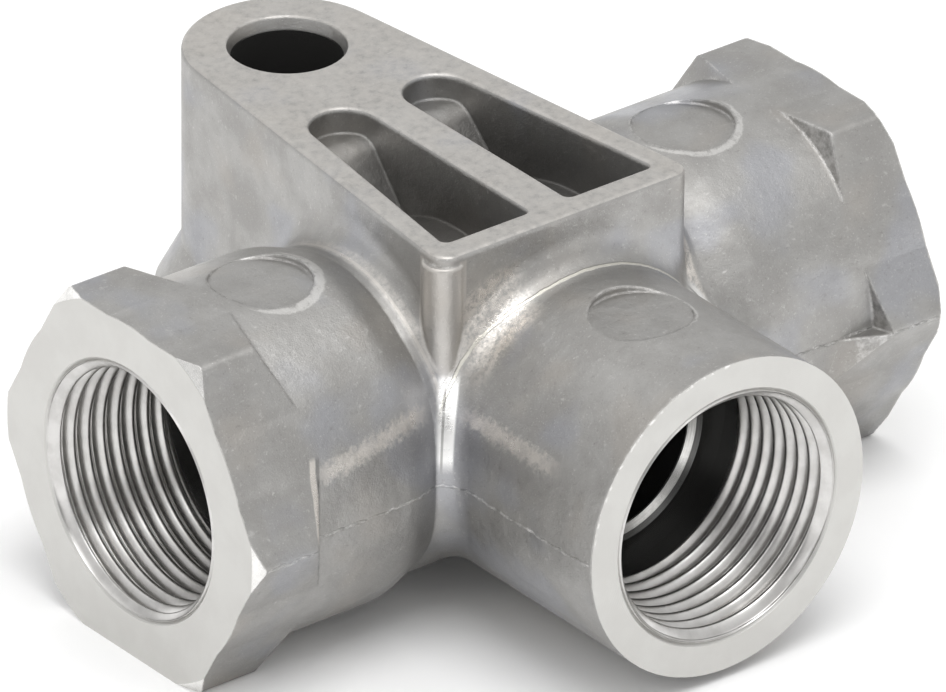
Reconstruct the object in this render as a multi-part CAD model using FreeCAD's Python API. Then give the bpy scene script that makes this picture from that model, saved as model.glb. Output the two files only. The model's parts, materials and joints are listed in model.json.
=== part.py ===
"""Double non-return valve for compressed air: a cast tee with two inlets in line and one outlet.

The cast body has a mounting lug with a bolt hole and two lightening pockets. Inside it a loose
shuttle slides along the run and shuts whichever inlet has the lower pressure. The shuttle goes in
through the right inlet and is kept in by a seat bush, its O-ring and a retaining ring.

Everything is modelled about the crossing of the port axes, in millimetres: +X along the run
towards the right inlet, -Y out of the outlet, +Z up through the lug. PLACE then moves it so that
the origin is the centre of the footprint, on the plane that the hexagons stand on.
"""
import os
import FreeCAD
import Part
from math import acos, asin, atan2, cos, hypot, radians, sin, tan

V = FreeCAD.Vector
ORIGIN = V(0, 0, 0)
X_AXIS, Y_AXIS, Z_AXIS = V(1, 0, 0), V(0, 1, 0), V(0, 0, 1)

# Run and hexagons
RUN_HALF = 35.6
HEX_ACROSS_FLATS = 30.0
HEX_VERTEX_LENGTH_LEFT = 6.0
HEX_VERTEX_LENGTH_RIGHT = 5.6
HEX_BACK_RUN_LEFT = 1.7
HEX_BACK_RUN_RIGHT = 0.8
HEX_LOWER_RUN_RIGHT = 5.0
HEX_RIDGE_RADIUS = 0.7
HEX_FACE_CHAMFER = 0.7
HEX_FACE_CHAMFER_ANGLE = 32.0
NECK_RADIUS = 15.25
WAIST_RADIUS = 14.1
WAIST_HALF = 14.6
WAIST_RAMP = 3.2
SHOULDER_RADIUS = 6.0

# Outlet
OUTLET_REACH = 32.7
OUTLET_DIAMETER = 28.0

# Threaded ports, M22 x 1.5, bored to the thread's major diameter
THREAD_MAJOR = 22.0
THREAD_MINOR = 20.376
THREAD_LENGTH = 12.2
RELIEF_LENGTH = 2.1
RELIEF_DIAMETER = 22.5
COUNTERSINK = 0.35

# Lug
LUG_HEIGHT = 18.6
BOSS_Y = 25.2
BOSS_RADIUS = 8.7
LUG_FRONT_Y = -11.8
LUG_FRONT_HALF = 13.1
LUG_CORNER_RADIUS = 1.6
LUG_RIM_ROUND = 0.4
RIB_RADIUS = 1.75
RIB_INSET = 1.5
RIB_BOTTOM = 7.0
RIB_TOP_GAP = 0.9
RIB_TOP_ROUND = 0.25
BOLT_HOLE = 9.3
BOLT_HOLE_CHAMFER = 0.4
BOLT_HOLE_CHAMFER_DEPTH = 1.1
FOOT_TOP = 0.8
FOOT_SHOULDER = -3.4
FOOT_FLARE = 2.2
FOOT_BOTTOM = -11.0
LUG_SOLE = -2.0

# Lightening pockets
WEB = 3.9
POCKET_WALL = 2.35
POCKET_FRONT_Y = -9.3
POCKET_END_Y = 14.2
POCKET_END_RADIUS = 2.9
POCKET_CORNER_RADIUS = 0.6
POCKET_SHELF_DEPTH = 2.3
POCKET_FLOOR_RADIUS = 12.9
SHELF_EDGE_Y = 11.6
SHELF_EDGE_ROUND = 2.4
SHELF_SLOPE = 49.0

# Round number pads, sunk a little into the top of each branch, left without numbers
PAD_RADIUS = 4.3
PAD_DEPTH = 0.65
PAD_LEFT_X = -22.2
PAD_RIGHT_X = 21.4
PAD_OUTLET_Y = -21.3

# Casting radii, and how deep a joined piece's root lies below the surface that it grows from
CREASE_RADIUS = 2.6
LUG_FOOT_RADIUS = 2.5
SINK = 0.3

# Bores and seats inside
OUTLET_BORE = 16.2
SEAT_BORE = 15.0
CHAMBER_BORE = 18.8
CHAMBER_HALF = 8.0
SEAT_LIP_HEIGHT = 0.8
SEAT_LIP_WIDTH = 0.8
BORE_CHAMFER = 0.8

# Seat bush, its O-ring and its retaining ring
BUSH_DIAMETER = 20.1
BUSH_CLEARANCE = 0.05
BUSH_LENGTH = 10.4
ORING_SECTION = 2.3
ORING_GROOVE_DEPTH = 1.7
ORING_SIDE_GAP = 0.15
RING_THICKNESS = 1.0
RING_GROOVE_DEPTH = 0.5
RING_GROOVE_GAP = 0.05
RING_WIDTH = 1.7
RING_OPENING = 46.0
RING_LUG_RADIUS = 1.25
RING_LUG_HOLE = 1.0
RING_LUG_INSET = 0.1
RING_LUG_OVERLAP = 0.7
ORING_ROUND = 0.3

# Shuttle
SHUTTLE_CLEARANCE = 0.08
SHUTTLE_LENGTH = 6.0
SHUTTLE_RIM = 0.55
SHUTTLE_WEB = 2.4
SHUTTLE_STUD_RADIUS = 2.0
SHUTTLE_STUD_HEAD = 0.35
SHUTTLE_EDGE = 0.25
SEAL_EDGE = 0.3
SEAL_PROUD = 0.5
SEAT_GAP = 0.05

# Derived sizes
AXIS_HEIGHT = HEX_ACROSS_FLATS / 2
HEX_VERTEX_RADIUS = AXIS_HEIGHT / cos(radians(30))
OUTLET_RADIUS = OUTLET_DIAMETER / 2
PORT_DEPTH = THREAD_LENGTH + RELIEF_LENGTH
CHAMBER_RADIUS = CHAMBER_BORE / 2
BUSH_POCKET_RADIUS = BUSH_DIAMETER / 2 + BUSH_CLEARANCE
BOSS_BACK = BOSS_Y + BOSS_RADIUS + FOOT_FLARE
RING_START = CHAMBER_HALF + BUSH_LENGTH + RING_GROOVE_GAP
RING_OUTER = BUSH_POCKET_RADIUS + RING_GROOVE_DEPTH - RING_GROOVE_GAP
SEAL_LENGTH = (SHUTTLE_LENGTH - SHUTTLE_WEB) / 2 + SEAL_PROUD
SEAL_RADIUS = CHAMBER_RADIUS - SHUTTLE_CLEARANCE - SHUTTLE_RIM
SHUTTLE_REST_X = -CHAMBER_HALF + SEAT_LIP_HEIGHT + SEAT_GAP + SEAL_PROUD + SHUTTLE_LENGTH / 2
PLACE = V(0, (OUTLET_REACH - BOSS_BACK) / 2, AXIS_HEIGHT)


def turned(profile, axis):
    """Solid of revolution about an axis through the crossing; profile rows are (along, radius)."""
    side = Y_AXIS if abs(axis.x) > 0.5 else X_AXIS
    points = [axis * along + side * radius for along, radius in profile]
    face = Part.Face(Part.makePolygon(points + points[:1]))
    return face.revolve(ORIGIN, axis, 360)


def rod(axis, start, end, radius):
    """Cylinder about an axis through the crossing, from start to end along it."""
    return Part.makeCylinder(radius, end - start, axis * start, axis)


def hexagon(reach, along, turned_by):
    """Closed hexagon across the run at one place along it; reach is its corner radius."""
    return Part.makePolygon([V(along, reach * cos(radians(a + turned_by)), reach * sin(radians(a + turned_by)))
                             for a in range(0, 361, 60)])


def sloped_back(tip, run):
    """Blunt hexagonal pyramid that slopes every corner behind the tip down to the flats within the run."""
    back = HEX_VERTEX_RADIUS / 2
    slope = run / (HEX_VERTEX_RADIUS - AXIS_HEIGHT)
    rings = [hexagon(radius / cos(radians(30)), along, 30)
             for along, radius in ((tip - slope * back, HEX_VERTEX_RADIUS - back),
                                   (tip, HEX_VERTEX_RADIUS), (RUN_HALF, HEX_VERTEX_RADIUS))]
    return Part.makeLoft(rings, True, True)


def hexagon_end(side):
    """Hexagon of one inlet (side is -1 or 1), its corners sloped at the back and chamfered in front.

    Below the parting plane the right hexagon's side corners slope down to the neck more gently.
    """
    root = WAIST_HALF + WAIST_RAMP
    length, run = ((HEX_VERTEX_LENGTH_LEFT, HEX_BACK_RUN_LEFT) if side < 0
                   else (HEX_VERTEX_LENGTH_RIGHT, HEX_BACK_RUN_RIGHT))
    prism = Part.Face(hexagon(HEX_VERTEX_RADIUS, root, 0)).extrude(X_AXIS * (RUN_HALF - root))
    prism = prism.makeFillet(HEX_RIDGE_RADIUS, [e for e in prism.Edges if e.BoundBox.XLength > 1])
    tip = RUN_HALF - length
    sloped = sloped_back(tip, run)
    if side > 0:
        lower = Part.makeBox(RUN_HALF, 4 * HEX_VERTEX_RADIUS, AXIS_HEIGHT / 2,
                             V(0, -2 * HEX_VERTEX_RADIUS, -AXIS_HEIGHT / 2))
        sloped = sloped.fuse(sloped_back(tip, HEX_LOWER_RUN_RIGHT).common(lower))
    drop = HEX_FACE_CHAMFER / tan(radians(HEX_FACE_CHAMFER_ANGLE))
    faced = turned([(0, 0), (RUN_HALF, 0), (RUN_HALF, HEX_VERTEX_RADIUS - drop),
                    (RUN_HALF - HEX_FACE_CHAMFER, HEX_VERTEX_RADIUS), (0, HEX_VERTEX_RADIUS)], X_AXIS)
    end = prism.common(sloped).common(faced)
    if side < 0:
        end.rotate(ORIGIN, Z_AXIS, 180)
    return end


def neck(side):
    """Neck of one inlet: it slopes down to the slimmer waist, and underneath it is as flat as the hexagon."""
    slope = WAIST_RAMP / (NECK_RADIUS - WAIST_RADIUS)
    start, shoulder = WAIST_HALF - slope * SINK, WAIST_HALF + WAIST_RAMP
    solid = turned([(start, 0), (start, WAIST_RADIUS - SINK), (shoulder, NECK_RADIUS),
                    (RUN_HALF, NECK_RADIUS), (RUN_HALF, 0)], X_AXIS)
    edge = [e for e in solid.Edges if abs(e.BoundBox.XMin - shoulder) < 1e-6
            and abs(e.BoundBox.XMax - shoulder) < 1e-6]
    solid = solid.makeFillet(SHOULDER_RADIUS, edge)
    if side < 0:
        solid.rotate(ORIGIN, Z_AXIS, 180)
    stand = Part.makeBox(2 * RUN_HALF, 2 * NECK_RADIUS, NECK_RADIUS, V(-RUN_HALF, -NECK_RADIUS,
                                                                       -AXIS_HEIGHT - NECK_RADIUS))
    return solid.cut(stand)


def lies_on(edge, *shells):
    """True if the edge runs on every one of the shells."""
    return all(shell.distToShape(Part.Vertex(point))[0] < 0.001
               for point in edge.discretize(5)[1:-1] for shell in shells)


def joint_edges(solid, *pieces):
    """Edges of a fused solid where all of the given pieces meet below the lug's top."""
    shells = [piece.Shells[0] for piece in pieces]
    return [e for e in solid.Edges if e.BoundBox.ZMax < LUG_HEIGHT - LUG_FOOT_RADIUS
            and lies_on(e, *shells)]


def cast_body():
    """The casting before machining; each piece is joined and its crease rounded before the next."""
    waist = rod(X_AXIS, -RUN_HALF, RUN_HALF, WAIST_RADIUS)
    lug = lug_block()
    body = waist.fuse(lug)
    body = body.makeFillet(LUG_FOOT_RADIUS, joint_edges(body, waist, lug))
    outlet = rod(Y_AXIS * -1, 0, OUTLET_REACH, OUTLET_RADIUS)
    tee = body.fuse(outlet)
    tee = tee.makeFillet(CREASE_RADIUS, joint_edges(tee, body, outlet))
    return tee.fuse([neck(-1), neck(1), boss_foot(), hexagon_end(-1), hexagon_end(1),
                     corner_rib()])


def lug_outline():
    """Plan outline of the lug: boss arc, two tapering sides and a straight front."""
    reach = hypot(LUG_FRONT_HALF, BOSS_Y - LUG_FRONT_Y)
    turn = acos(BOSS_RADIUS / reach) - atan2(BOSS_Y - LUG_FRONT_Y, LUG_FRONT_HALF)
    tangent = V(BOSS_RADIUS * cos(turn), BOSS_Y + BOSS_RADIUS * sin(turn), 0)
    mirrored = V(-tangent.x, tangent.y, 0)
    right, left = V(LUG_FRONT_HALF, LUG_FRONT_Y, 0), V(-LUG_FRONT_HALF, LUG_FRONT_Y, 0)
    arc = Part.Arc(tangent, V(0, BOSS_Y + BOSS_RADIUS, 0), mirrored).toShape()
    return Part.Wire([arc, Part.makeLine(mirrored, left), Part.makeLine(left, right),
                      Part.makeLine(right, tangent)])


def lug_block():
    """Lug with rounded front corners; its sole lies inside the run."""
    wire = lug_outline()
    wire.translate(V(0, 0, LUG_SOLE))
    block = Part.Face(wire).extrude(Z_AXIS * (LUG_HEIGHT - LUG_SOLE))
    posts = [e for e in block.Edges
             if abs(e.Vertexes[0].X - e.Vertexes[-1].X) < 1e-6
             and all(abs(v.Y - LUG_FRONT_Y) < 1e-6 for v in e.Vertexes)
             and abs(e.Vertexes[0].Z - e.Vertexes[-1].Z) > 1]
    return block.makeFillet(LUG_CORNER_RADIUS, posts)


def corner_rib():
    """Round rib that stands a little proud of both walls at the lug's left front corner."""
    top = LUG_HEIGHT - RIB_TOP_GAP
    rib = Part.makeCylinder(RIB_RADIUS, top - RIB_BOTTOM,
                            V(RIB_INSET - LUG_FRONT_HALF, LUG_FRONT_Y + RIB_INSET, RIB_BOTTOM))
    return rib.makeFillet(RIB_TOP_ROUND, [e for e in rib.Edges if e.BoundBox.ZMin > top - 1e-6])


def boss_foot():
    """Foot of the boss, which flares out below the parting plane."""
    def stadium(grow, z):
        radius = BOSS_RADIUS + grow
        back = Part.Arc(V(radius, BOSS_Y, z), V(0, BOSS_Y + radius, z), V(-radius, BOSS_Y, z))
        side_l = Part.makeLine(V(-radius, BOSS_Y, z), V(-radius, 0, z))
        front = Part.makeLine(V(-radius, 0, z), V(radius, 0, z))
        side_r = Part.makeLine(V(radius, 0, z), V(radius, BOSS_Y, z))
        return Part.Wire([back.toShape(), side_l, front, side_r])
    flare = Part.makeLoft([stadium(0, FOOT_TOP), stadium(FOOT_FLARE, FOOT_SHOULDER)], True, True)
    base = Part.Face(stadium(FOOT_FLARE, FOOT_BOTTOM)).extrude(Z_AXIS * (FOOT_SHOULDER - FOOT_BOTTOM))
    return flare.fuse(base)


def shelf():
    """Shelf at the pockets' round end: flat on top, then rolled over into a slope towards the front."""
    top = LUG_HEIGHT - POCKET_SHELF_DEPTH
    back = POCKET_END_Y + 1
    outline = Part.makePolygon([V(0, SHELF_EDGE_Y, top), V(0, back, top), V(0, back, 0),
                                V(0, SHELF_EDGE_Y - top / tan(radians(SHELF_SLOPE)), 0),
                                V(0, SHELF_EDGE_Y, top)])
    block = Part.Face(outline).extrude(X_AXIS * LUG_FRONT_HALF)
    edge = [e for e in block.Edges
            if all(abs(v.Y - SHELF_EDGE_Y) < 1e-6 and abs(v.Z - top) < 1e-6 for v in e.Vertexes)]
    return block.makeFillet(SHELF_EDGE_ROUND, edge)


def pocket(side):
    """One lightening pocket; its floor is round where it goes over the run and the outlet."""
    inner = WEB / 2
    end_x = inner + POCKET_END_RADIUS
    end = V(end_x, POCKET_END_Y - POCKET_END_RADIUS, 0)
    corner = V(LUG_FRONT_HALF - POCKET_WALL, POCKET_FRONT_Y, 0)
    to_corner = corner - end
    lean = atan2(to_corner.y, to_corner.x) + acos(POCKET_END_RADIUS / to_corner.Length)
    tangent = end + V(POCKET_END_RADIUS * cos(lean), POCKET_END_RADIUS * sin(lean), 0)
    arc = Part.Arc(tangent, V(end_x, POCKET_END_Y, 0), V(inner, end.y, 0)).toShape()
    near = V(inner, POCKET_FRONT_Y, 0)
    wire = Part.Wire([arc, Part.makeLine(V(inner, end.y, 0), near), Part.makeLine(near, corner),
                      Part.makeLine(corner, tangent)])
    deep = Part.Face(wire).extrude(Z_AXIS * LUG_HEIGHT)
    posts = [e for e in deep.Edges if e.BoundBox.ZLength > 1 and abs(e.Vertexes[0].Y - POCKET_FRONT_Y) < 1e-6]
    deep = deep.makeFillet(POCKET_CORNER_RADIUS, posts)
    cut = deep.cut([shelf(), rod(X_AXIS, 0, LUG_FRONT_HALF, POCKET_FLOOR_RADIUS),
                    rod(Y_AXIS * -1, 0, OUTLET_REACH, POCKET_FLOOR_RADIUS)])
    if side < 0:
        cut = cut.mirror(ORIGIN, X_AXIS)
    return cut


def number_pads():
    """Cutters for the round pads, each flat and just below the top of its branch."""
    spots = ((PAD_LEFT_X, 0, NECK_RADIUS), (PAD_RIGHT_X, 0, NECK_RADIUS),
             (0, PAD_OUTLET_Y, OUTLET_RADIUS))
    return [Part.makeCylinder(PAD_RADIUS, 2 * PAD_DEPTH, V(x, y, top - PAD_DEPTH)) for x, y, top in spots]


def port(axis, face):
    """Cutter for one port: countersink, thread at its major diameter, and the relief behind it."""
    major, relief = THREAD_MAJOR / 2, RELIEF_DIAMETER / 2
    return turned([(face + 1, 0), (face + 1, major + COUNTERSINK + 1), (face, major + COUNTERSINK),
                   (face - COUNTERSINK, major), (face - THREAD_LENGTH, major),
                   (face - THREAD_LENGTH - relief + major, relief),
                   (face - PORT_DEPTH, relief), (face - PORT_DEPTH, 0)], axis)


def bore(axis, mouth, end, radius):
    """Cutter for a bore with a chamfer at its mouth."""
    way = 1 if mouth > end else -1
    return turned([(mouth, 0), (mouth, radius + BORE_CHAMFER), (mouth - way * BORE_CHAMFER, radius),
                   (end, radius), (end, 0)], axis)


def shuttle_chamber():
    """Cutter for the shuttle's chamber with the left seat lip left standing."""
    lip_in = SEAT_BORE / 2
    lip_out = lip_in + SEAT_LIP_WIDTH
    tip = -CHAMBER_HALF + SEAT_LIP_HEIGHT
    groove = BUSH_POCKET_RADIUS + RING_GROOVE_DEPTH
    ring_end = RING_START + RING_THICKNESS + RING_GROOVE_GAP
    bottom = RUN_HALF - PORT_DEPTH
    return turned([(tip, 0), (tip, lip_out), (-CHAMBER_HALF, lip_out), (-CHAMBER_HALF, CHAMBER_RADIUS),
                   (CHAMBER_HALF, CHAMBER_RADIUS), (CHAMBER_HALF, BUSH_POCKET_RADIUS),
                   (RING_START - RING_GROOVE_GAP, BUSH_POCKET_RADIUS),
                   (RING_START - RING_GROOVE_GAP, groove), (ring_end, groove),
                   (ring_end, BUSH_POCKET_RADIUS), (bottom, BUSH_POCKET_RADIUS), (bottom, 0)], X_AXIS)


def bolt_hole():
    """Cutter for the bolt hole, with a steep chamfer at the top and a common one underneath."""
    radius = BOLT_HOLE / 2
    wide = radius + BOLT_HOLE_CHAMFER
    top, bottom = LUG_HEIGHT, FOOT_BOTTOM
    cutter = turned([(top + 1, 0), (top + 1, wide), (top, wide), (top - BOLT_HOLE_CHAMFER_DEPTH, radius),
                     (bottom + BOLT_HOLE_CHAMFER, radius), (bottom, wide), (bottom - 1, wide),
                     (bottom - 1, 0)], Z_AXIS)
    cutter.translate(V(0, BOSS_Y, 0))
    return cutter


def valve_body():
    """The casting with everything that is machined in it."""
    cutters = [port(X_AXIS, RUN_HALF), port(X_AXIS * -1, RUN_HALF), port(Y_AXIS * -1, OUTLET_REACH),
               bore(X_AXIS * -1, RUN_HALF - PORT_DEPTH, 0, SEAT_BORE / 2),
               bore(Y_AXIS * -1, OUTLET_REACH - PORT_DEPTH, 0, OUTLET_BORE / 2),
               shuttle_chamber(), bolt_hole(), pocket(1), pocket(-1)] + number_pads()
    body = cast_body().cut(cutters)
    hole_box = BOLT_HOLE / 2 + 2 * BOLT_HOLE_CHAMFER
    rims = [e for e in body.Edges if e.BoundBox.ZMin > LUG_HEIGHT - 1e-4
            and e.distToShape(Part.Vertex(V(0, BOSS_Y, LUG_HEIGHT)))[0] > hole_box]
    return body.makeFillet(LUG_RIM_ROUND, rims)


def seat_bush():
    """Turned bush that forms the right seat, with a groove for its O-ring."""
    outer = BUSH_DIAMETER / 2
    inner = SEAT_BORE / 2
    start, end = CHAMBER_HALF, CHAMBER_HALF + BUSH_LENGTH
    middle = (start + end) / 2
    half = ORING_SECTION / 2 + ORING_SIDE_GAP
    floor = outer - ORING_GROOVE_DEPTH
    chamfer = BORE_CHAMFER / 2
    return turned([(start, inner + SEAT_LIP_WIDTH), (start - SEAT_LIP_HEIGHT, inner + SEAT_LIP_WIDTH),
                   (start - SEAT_LIP_HEIGHT, inner), (end - chamfer, inner), (end, inner + chamfer),
                   (end, outer - chamfer), (end - chamfer, outer), (middle + half, outer),
                   (middle + half, floor), (middle - half, floor), (middle - half, outer),
                   (start, outer)], X_AXIS)


def seat_bush_o_ring():
    """O-ring squeezed between the bush's groove and the body's bore."""
    inner = BUSH_DIAMETER / 2 - ORING_GROOVE_DEPTH
    outer = BUSH_POCKET_RADIUS
    middle = CHAMBER_HALF + BUSH_LENGTH / 2
    round_off = ORING_ROUND * (outer - inner)
    half = ORING_SECTION / 2
    return turned([(middle - half + round_off, inner), (middle + half - round_off, inner),
                   (middle + half, inner + round_off), (middle + half, outer - round_off),
                   (middle + half - round_off, outer), (middle - half + round_off, outer),
                   (middle - half, outer - round_off), (middle - half, inner + round_off)], X_AXIS)


def retaining_ring():
    """Internal spring ring: an open ring with two eyes for the pliers."""
    inner = RING_OUTER - RING_WIDTH
    ring = rod(X_AXIS, RING_START, RING_START + RING_THICKNESS, RING_OUTER)
    ring = ring.cut(rod(X_AXIS, RING_START - 1, RING_START + RING_THICKNESS + 1, inner))
    half = radians(RING_OPENING / 2)
    reach = 2 * RING_OUTER
    gap = Part.makePolygon([V(RING_START - 1, 0, 0), V(RING_START - 1, reach * sin(half), reach * cos(half)),
                            V(RING_START - 1, -reach * sin(half), reach * cos(half)),
                            V(RING_START - 1, 0, 0)])
    ring = ring.cut(Part.Face(gap).extrude(X_AXIS * (RING_THICKNESS + 2)))
    eye_at = inner + RING_LUG_RADIUS * RING_LUG_INSET
    for side in (-1, 1):
        turn = half + asin(RING_LUG_RADIUS * RING_LUG_OVERLAP / eye_at)
        y, z = side * eye_at * sin(turn), eye_at * cos(turn)
        eye = Part.makeCylinder(RING_LUG_RADIUS, RING_THICKNESS, V(RING_START, y, z), X_AXIS)
        hole = Part.makeCylinder(RING_LUG_HOLE / 2, RING_THICKNESS + 2, V(RING_START - 1, y, z), X_AXIS)
        ring = ring.fuse(eye).cut(hole)
    return ring.removeSplitter()


def shuttle():
    """Moulded shuttle: a guided rim round a web, with a headed stud on each side for the seals."""
    rim = CHAMBER_RADIUS - SHUTTLE_CLEARANCE
    half, web = SHUTTLE_LENGTH / 2, SHUTTLE_WEB / 2
    edge = SHUTTLE_EDGE
    head = half + SEAL_PROUD
    right = [(web, SEAL_RADIUS), (web, SHUTTLE_STUD_RADIUS), (head - SHUTTLE_STUD_HEAD, SHUTTLE_STUD_RADIUS),
             (head, SHUTTLE_STUD_RADIUS - SHUTTLE_STUD_HEAD), (head, 0)]
    left = [(-x, r) for x, r in reversed(right)]
    profile = left + [(-half, SEAL_RADIUS), (-half, rim - edge), (-half + edge, rim), (half - edge, rim),
                      (half, rim - edge), (half, SEAL_RADIUS)] + right
    piece = turned(profile, X_AXIS)
    piece.translate(V(SHUTTLE_REST_X, 0, 0))
    return piece


def shuttle_seal(side):
    """Rubber seal ring that fills one end of the shuttle and stands a little proud of its rim."""
    start = SHUTTLE_WEB / 2
    end = start + SEAL_LENGTH
    edge = SEAL_EDGE
    profile = [(start, SHUTTLE_STUD_RADIUS), (end, SHUTTLE_STUD_RADIUS), (end, SEAL_RADIUS - edge),
               (end - edge, SEAL_RADIUS), (start, SEAL_RADIUS)]
    piece = turned([(side * x, r) for x, r in profile], X_AXIS)
    piece.translate(V(SHUTTLE_REST_X, 0, 0))
    return piece


def nodes():
    """Every piece of the valve by the name of its file."""
    return {"valve_body": valve_body(), "seat_bush": seat_bush(), "seat_bush_o_ring": seat_bush_o_ring(),
            "retaining_ring": retaining_ring(), "shuttle": shuttle(),
            "shuttle_seal_left": shuttle_seal(-1), "shuttle_seal_right": shuttle_seal(1)}


def main():
    os.makedirs("parts", exist_ok=True)
    for name, shape in nodes().items():
        shape.translate(PLACE)
        print(name, "valid", shape.isValid(), "solids", len(shape.Solids), "volume",
              round(shape.Volume, 1))
        shape.exportStep("parts/" + name + ".step")


main()
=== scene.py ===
"""Looks of a cast aluminium double non-return valve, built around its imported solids.

The casting, bush, rings and shuttle keep their solids and get their finishes here. The port threads
and the flash along the parting plane are surfaces worked out here and laid into the solids.
"""
import json

import bpy
import numpy as np
from mathutils import Matrix, Vector


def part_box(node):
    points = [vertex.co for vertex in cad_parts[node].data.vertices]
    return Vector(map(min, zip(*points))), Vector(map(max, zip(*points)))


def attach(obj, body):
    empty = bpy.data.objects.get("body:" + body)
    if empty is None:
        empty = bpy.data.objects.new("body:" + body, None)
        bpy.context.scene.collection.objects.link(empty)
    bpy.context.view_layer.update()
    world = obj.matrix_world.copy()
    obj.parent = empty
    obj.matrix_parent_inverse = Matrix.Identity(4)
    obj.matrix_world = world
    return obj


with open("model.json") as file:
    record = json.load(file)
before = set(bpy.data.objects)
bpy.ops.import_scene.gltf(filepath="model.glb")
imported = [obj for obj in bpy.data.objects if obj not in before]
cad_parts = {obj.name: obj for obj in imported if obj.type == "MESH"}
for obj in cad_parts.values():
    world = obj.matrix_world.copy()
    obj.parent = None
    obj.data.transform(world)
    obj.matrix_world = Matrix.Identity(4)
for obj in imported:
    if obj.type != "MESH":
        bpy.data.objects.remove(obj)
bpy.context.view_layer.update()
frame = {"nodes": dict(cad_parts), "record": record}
MM = 0.001

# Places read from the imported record, in millimetres
MOUNTS = {mount["name"]: mount for mount in frame["record"]["mounts"]}
AXIS_Y, AXIS_Z = (MOUNTS["left_inlet"]["pos_m"][i] / MM for i in (1, 2))
CROSSING = np.array([0, AXIS_Y, AXIS_Z])
BOSS_Y = MOUNTS["bolt_hole"]["pos_m"][1] / MM
BODY_LOW, BODY_HIGH = (np.array(corner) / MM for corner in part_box("valve_body"))
RUN_HALF = BODY_HIGH[0]
OUTLET_REACH = AXIS_Y - BODY_LOW[1]

# Thread M22 x 1.5, cut into a bore of its major diameter: radii and lengths in millimetres
THREAD_MAJOR = 11.0
THREAD_MINOR = 10.19
THREAD_PITCH = 1.5
THREAD_LENGTH = 12.2
THREAD_CLEARANCE = 0.004
THREAD_WALL = 0.015
THREAD_END_GAP = 0.02
THREAD_LEAD_IN = 0.9
THREAD_STEPS_DEEP = 200
THREAD_STEPS_ROUND = 144

# Profile of one turn, as shares of half the pitch: worn crest, flank, and how hollow the flank is
THREAD_CREST = 0.08
THREAD_FLANK = 0.87
THREAD_HOLLOW = 1.45

# Shape of the casting where flash and finishes follow it, in millimetres from the crossing of the axes
HEX_VERTEX = 17.32
HEX_RIDGE_END = {-1: 29.6, 1: 30.0}
LIP_AT = 29.2
HEX_FACE_CHAMFER = 0.7
HEX_CHAMFER_DROP = 1.12
HEX_FOOT = {-1: 28.1, 1: 29.3}
NECK_RADIUS = 15.25
SHOULDER_RADIUS = 6.0
WAIST_RADIUS = 14.1
WAIST_HALF = 14.6
WAIST_RAMP = 3.2
CREASE_RADIUS = 2.6
CREASE_TURN = 62.7
OUTLET_RADIUS = 14.0
SEAM_OFFSET = -0.6
LUG_HEIGHT = 18.6
LUG_FRONT = 11.8
LUG_SIDE = 13.1
HOLE_RADIUS = 4.65
HOLE_CHAMFER_DEPTH = 1.1
RIB_AT = (-11.6, -10.3)
RIB_RADIUS = 1.75
BORE_RADIUS = 8.1
ROUND_MARKS = ((-22.2, 0.0, -50, 0.42), (21.4, 0.0, -80, 0.3), (0.0, -21.3, 15, 0.12))
MARK_RADIUS = 4.3
PORT_DEPTH = 14.3
PORT_MOUTH = 11.4
POCKET_FRONT = -9.8
POCKET_BACK = 14.6
POCKET_HALF = 11.3
POCKET_TAPER = 0.13
POCKET_TAPER_FROM = -9.3

# Heights between which the marks along the upper creases fade in
FADE_IN = (5.0, 7.0)

# Marks of the machining, in millimetres: the uneven edge of turned faces and the pitch of their rings
RAGGED_EDGE = 0.42
TURNING_PITCH = 0.16

# Flash along the parting plane, in millimetres; it ends short of the outlet's turned face
FLASH_WIDTH = 0.32
FLASH_HEIGHT = {"hexagon": 0.16, "front": 0.15, "neck": 0.14}
FLASH_SUNK = 0.12
FLASH_TAPER = 0.5
FLASH_END_GAP = 0.4
FLASH_STEPS_PER_MM = 9
FLASH_STEPS_ACROSS = 14

# Colours of the metal, its marks, and of the painted highlights and painted shade, linear red, green and blue
CLOUD_DARK = (0.345, 0.337, 0.325)
CLOUD_PALE = (0.405, 0.398, 0.386)
STAIN_BLUISH = (0.36, 0.37, 0.41)
STAIN_WARM = (0.43, 0.40, 0.365)
FLECK_PALE = (0.62, 0.61, 0.595)
FLECK_DARK = (0.25, 0.243, 0.232)
GRAIN_PALE = (0.70, 0.69, 0.675)
GRAIN_DARK = (0.2, 0.195, 0.188)
WORN_EDGE = (0.78, 0.77, 0.75)
# Painted highlight on the front ones of the hexagons' sloped back corners
BACK_CORNER_SHEEN = (0.85, 0.84, 0.83)
SCRATCH = (0.72, 0.71, 0.695)
RUBBED_TOP = (0.62, 0.595, 0.56)
SCUFF = (0.70, 0.69, 0.67)
# Painted highlights by the creases: SHEEN for the sheen and glints, SHINE round the seam where run and outlet
# meet
SHEEN = (0.84, 0.79, 0.73)
SHINE = (0.95, 0.945, 0.93)
WITNESS_LINE = (0.80, 0.78, 0.70)
# Painted shade in the creases and under the painted glints
PAINTED_SHADE = (0.2, 0.195, 0.19)
# Painted shade deep in the lug's pockets
POCKET_SHADE = (0.13, 0.126, 0.12)
TURNED_DARK = (0.575, 0.567, 0.546)
TURNED_PALE = (0.60, 0.594, 0.572)
# Pale rims of the turned faces; on the outlet's upper left edge a painted highlight
BRIGHT_RIM = (0.84, 0.83, 0.81)
# Painted shade deep in the bores and the bolt hole
BORE_SHADE = (0.05, 0.05, 0.05)
THREAD_DARK = (0.55, 0.54, 0.525)
THREAD_PALE = (0.66, 0.65, 0.635)

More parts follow.
